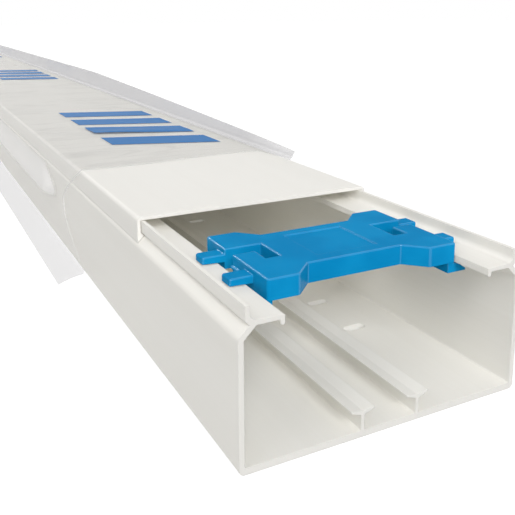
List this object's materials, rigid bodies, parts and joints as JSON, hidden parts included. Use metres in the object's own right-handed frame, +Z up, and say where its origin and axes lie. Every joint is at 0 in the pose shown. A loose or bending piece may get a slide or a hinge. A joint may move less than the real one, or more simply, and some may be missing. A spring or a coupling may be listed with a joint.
{
  "type": "perforated wiring duct",
  "caption": "Length of white plastic wiring duct with a slotted floor, T-rails, a clip-on lid slid back from the open end, a blue cable clip across the mouth and a clear film sleeve.",
  "frame": {"origin": "middle of the base's flat underside, halfway along its length", "axes": "+X across the duct, +Y along it from the open front end to the back, +Z up from the underside to the lid"},
  "size_m": [0.1525, 2.1015, 0.0692],
  "materials": {
    "white_pvc": "extruded rigid PVC, warm white, satin, with faint lengthwise draw lines",
    "blue_plastic": "injection-moulded bright blue plastic, semi-gloss, fine-grained top",
    "clear_film": "thin clear polyethylene wrapping film, glossy, slightly milky, with long creases"
  },
  "bodies": {
    "base": {"duct_base": "white_pvc", "film_sleeve": "clear_film"},
    "lid": {"duct_lid": "white_pvc"},
    "clip": {"cable_clip": "blue_plastic"}
  },
  "joints": [
    {"name": "lid_slide", "type": "slide", "parent": "base", "child": "lid", "axis": [0, 1, 0], "range_m": [-0.1015, 0.3]},
    {"name": "clip_slide", "type": "slide", "parent": "base", "child": "clip", "axis": [0, 1, 0], "range_m": [-0.017, 1.93]}
  ]
}
